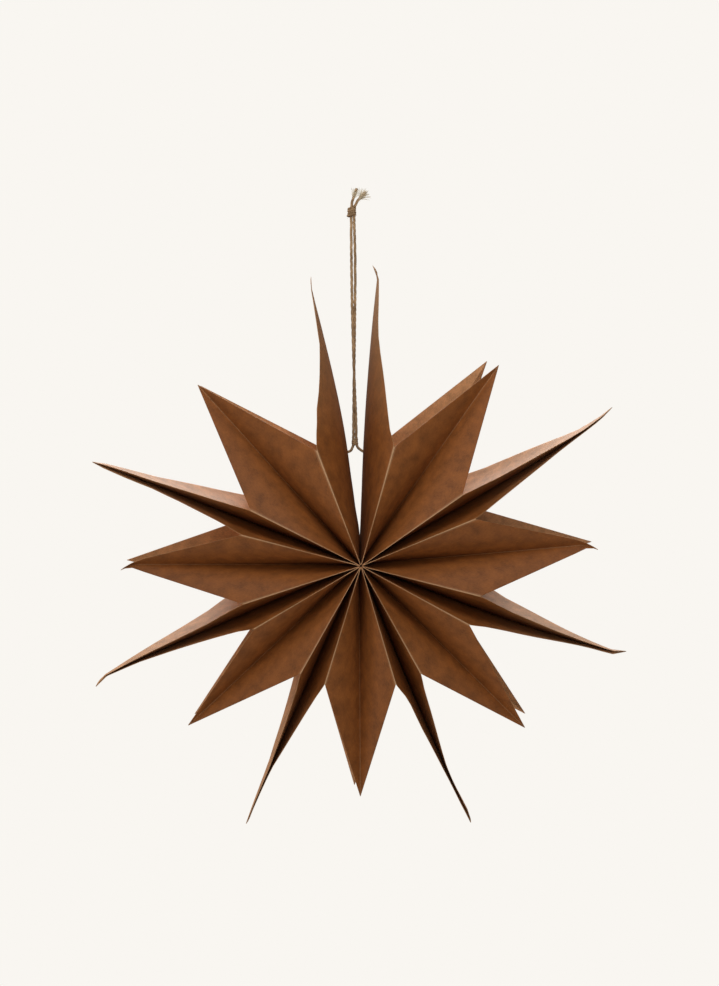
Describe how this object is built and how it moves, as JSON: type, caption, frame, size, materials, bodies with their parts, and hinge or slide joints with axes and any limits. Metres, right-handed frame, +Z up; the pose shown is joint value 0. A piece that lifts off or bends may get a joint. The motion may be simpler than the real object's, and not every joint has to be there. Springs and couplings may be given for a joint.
{
  "type": "hanging paper star",
  "caption": "Open-backed hanging star of gusseted brown paper bags glued side by side, with a twine hanger tied through its end panels.",
  "frame": {"origin": "the point between the two strings, just under the top knot, where a hook carries the star", "axes": "+Z up as it hangs, -Y towards the viewer along the star's own axis, +X to the viewer's right"},
  "size_m": [0.4229, 0.13, 0.4996],
  "materials": {
    "kraft_paper": "matte",
    "jute_twine": "matte"
  },
  "bodies": {
    "root": {"bag_upper_right": "kraft_paper", "bag_right": "kraft_paper", "bag_lower_right": "kraft_paper", "bag_bottom": "kraft_paper", "bag_lower_left": "kraft_paper", "bag_left": "kraft_paper", "bag_upper_left": "kraft_paper", "string_left": "jute_twine", "string_right": "jute_twine", "lower_knot": "jute_twine", "top_knot": "jute_twine", "stopper_knot_left": "jute_twine", "stopper_knot_right": "jute_twine"}
  },
  "joints": []
}
